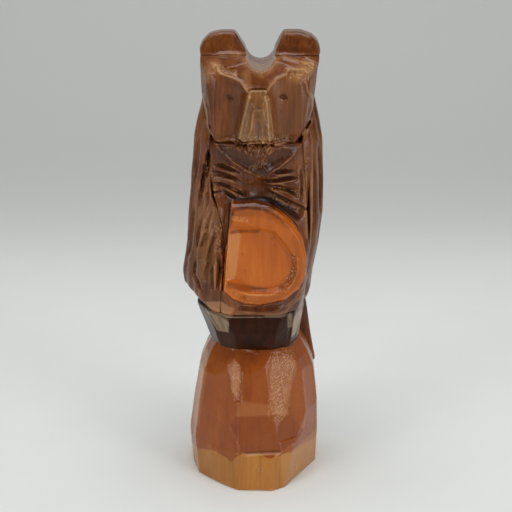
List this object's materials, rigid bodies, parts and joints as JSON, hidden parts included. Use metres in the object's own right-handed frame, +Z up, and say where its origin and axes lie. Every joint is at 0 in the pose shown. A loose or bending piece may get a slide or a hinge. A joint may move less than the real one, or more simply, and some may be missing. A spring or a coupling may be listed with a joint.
{
  "type": "carved owl figurine",
  "caption": "Carved and varnished wooden owl with folded wings and a round belly disc, standing on a flared facetted stump with a bare foot band.",
  "frame": {"origin": "centre of the stump's resting face, on the surface it stands on", "axes": "+Z up the figure, -Y the way the owl looks, +X the owl's own left side"},
  "size_m": [0.0553, 0.0528, 0.18],
  "materials": {
    "dark_stain": "gloss varnish over dark brown stain",
    "red_stain": "gloss varnish over red-brown stain",
    "amber_stain": "gloss varnish over amber stain, bare at the foot",
    "orange_stain": "gloss varnish over orange stain",
    "pale_stain": "gloss varnish over thin stain",
    "bare_wood": "plain turned dowel"
  },
  "bodies": {
    "root": {"stump": "amber_stain", "foot_block": "dark_stain", "body": "dark_stain", "belly_disc": "orange_stain", "wing_right": "dark_stain", "wing_left": "dark_stain", "tail": "dark_stain", "head": "red_stain", "beak": "pale_stain", "ear_left": "red_stain", "ear_right": "red_stain", "perch_dowel": "bare_wood", "neck_dowel": "bare_wood", "disc_peg": "bare_wood", "wing_pegs": "bare_wood"}
  },
  "joints": []
}
